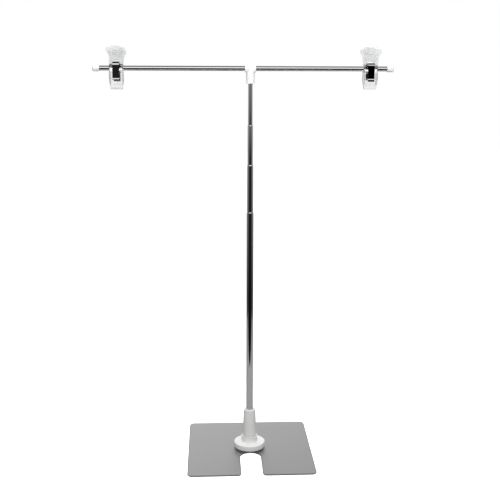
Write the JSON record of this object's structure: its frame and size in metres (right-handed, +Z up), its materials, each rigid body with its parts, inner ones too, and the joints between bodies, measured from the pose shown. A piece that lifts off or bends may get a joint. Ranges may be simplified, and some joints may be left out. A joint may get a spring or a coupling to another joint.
{
  "type": "telescopic sign stand",
  "caption": "Floor standing sign holder: a notched steel base carries a telescopic chrome pole, and a T with a crossbar whose sliding clear clips grip a poster or frame.",
  "frame": {"origin": "middle of the base plate's underside, on the pole's axis", "axes": "+Z up along the pole, +X to the right along the crossbar, +Y from the notched front edge to the back"},
  "size_m": [0.453, 0.2, 0.6447],
  "materials": {
    "plate_steel": "satin grey, sealed",
    "stud_steel": "plain steel thread",
    "insert_brass": "turned",
    "tube_chrome": "bright",
    "white_plastic": "semi-gloss moulding",
    "bush_plastic": "natural",
    "clip_clear": "clear moulding",
    "spring_black": "black, oiled spring steel"
  },
  "bodies": {
    "base": {"base_plate": "plate_steel", "base_stud": "stud_steel", "base_socket": "white_plastic", "pole_sleeve": "white_plastic", "pole_insert": "insert_brass", "pole_tube_1": "tube_chrome"},
    "pole_2": {"pole_tube_2": "tube_chrome", "guide_bush_2": "bush_plastic"},
    "pole_3": {"pole_tube_3": "tube_chrome", "guide_bush_3": "bush_plastic"},
    "pole_4": {"pole_tube_4": "tube_chrome", "guide_bush_4": "bush_plastic"},
    "tee": {"tee_fitting": "white_plastic"},
    "bar": {"crossbar": "tube_chrome", "end_cap_left": "white_plastic", "end_cap_right": "white_plastic"},
    "clip_left": {"clip_left_spring": "spring_black"},
    "clip_left_front": {"clip_left_front": "clip_clear"},
    "clip_left_rear": {"clip_left_rear": "clip_clear"},
    "clip_right": {"clip_right_spring": "spring_black"},
    "clip_right_front": {"clip_right_front": "clip_clear"},
    "clip_right_rear": {"clip_right_rear": "clip_clear"}
  },
  "joints": [
    {"name": "pole_2_slide", "type": "slide", "parent": "base", "child": "pole_2", "axis": [0, 0, 1], "range_m": [-0.0675, 0.2715]},
    {"name": "pole_3_slide", "type": "slide", "parent": "pole_2", "child": "pole_3", "axis": [0, 0, 1], "range_m": [-0.0545, 0.2645]},
    {"name": "pole_4_slide", "type": "slide", "parent": "pole_3", "child": "pole_4", "axis": [0, 0, 1], "range_m": [-0.0563, 0.243]},
    {"name": "tee_swivel", "type": "hinge", "parent": "pole_4", "child": "tee", "pos_m": [0, 0, 0.612], "axis": [0, 0, 1], "continuous": true},
    {"name": "bar_roll", "type": "hinge", "parent": "tee", "child": "bar", "pos_m": [0, 0, 0.612], "axis": [1, 0, 0], "continuous": true},
    {"name": "clip_left_slide", "type": "slide", "parent": "bar", "child": "clip_left", "axis": [1, 0, 0], "range_m": [-0.0148, 0.172]},
    {"name": "clip_left_open", "type": "hinge", "parent": "clip_left", "child": "clip_left_front", "pos_m": [-0.2003, 0, 0.612], "axis": [-1, 0, 0], "range_deg": [0, 12], "stiffness_Nm_per_rad": 1, "springref_deg": -11.46, "deforming": ["clip_left_spring"]},
    {"name": "clip_left_open_rear", "type": "hinge", "parent": "clip_left", "child": "clip_left_rear", "pos_m": [-0.2003, 0, 0.612], "axis": [1, 0, 0], "range_deg": [0, 12]},
    {"name": "clip_right_slide", "type": "slide", "parent": "bar", "child": "clip_right", "axis": [1, 0, 0], "range_m": [-0.154, 0.0148]},
    {"name": "clip_right_open", "type": "hinge", "parent": "clip_right", "child": "clip_right_front", "pos_m": [0.1817, 0, 0.612], "axis": [-1, 0, 0], "range_deg": [0, 12], "stiffness_Nm_per_rad": 1, "springref_deg": -11.46, "deforming": ["clip_right_spring"]},
    {"name": "clip_right_open_rear", "type": "hinge", "parent": "clip_right", "child": "clip_right_rear", "pos_m": [0.1817, 0, 0.612], "axis": [1, 0, 0], "range_deg": [0, 12]}
  ],
  "couplings": [
    {"joint": "clip_left_open_rear", "follows": "clip_left_open", "ratio": 1},
    {"joint": "clip_right_open_rear", "follows": "clip_right_open", "ratio": 1}
  ]
}
